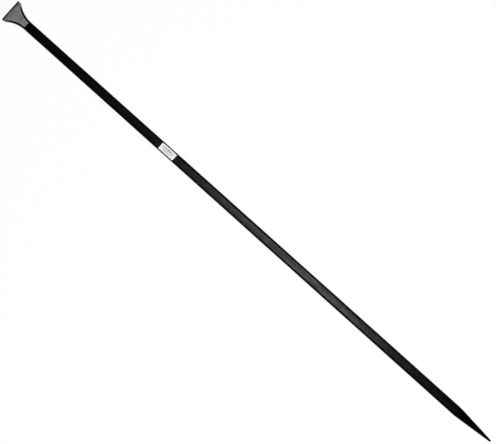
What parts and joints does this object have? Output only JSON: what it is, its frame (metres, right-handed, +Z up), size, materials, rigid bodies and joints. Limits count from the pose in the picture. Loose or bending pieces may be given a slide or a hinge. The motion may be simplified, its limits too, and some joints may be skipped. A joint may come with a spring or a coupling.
{
  "type": "digging bar",
  "caption": "Long black steel digging bar: round-cornered square shaft, flared fishtail chisel blade with ground faces at one end, tapered point at the other, white label on the upper flat.",
  "frame": {"origin": "middle of the bar's length and width, on the surface that the bar lies on", "axes": "+X along the bar from the chisel blade to the point, +Z up out of the labelled flat, +Y across the blade"},
  "size_m": [1.75, 0.068, 0.0277],
  "materials": {
    "black_enamel": "semi-gloss black paint over hot-rolled and forged steel",
    "ground_steel": "ground wedge faces, with black paint on the flanks and the shank",
    "label_stock": null
  },
  "bodies": {
    "root": {"shaft": "black_enamel", "chisel_blade": "ground_steel", "blade_weld": "black_enamel", "point": "black_enamel", "point_weld": "black_enamel", "label": "label_stock"}
  },
  "joints": []
}
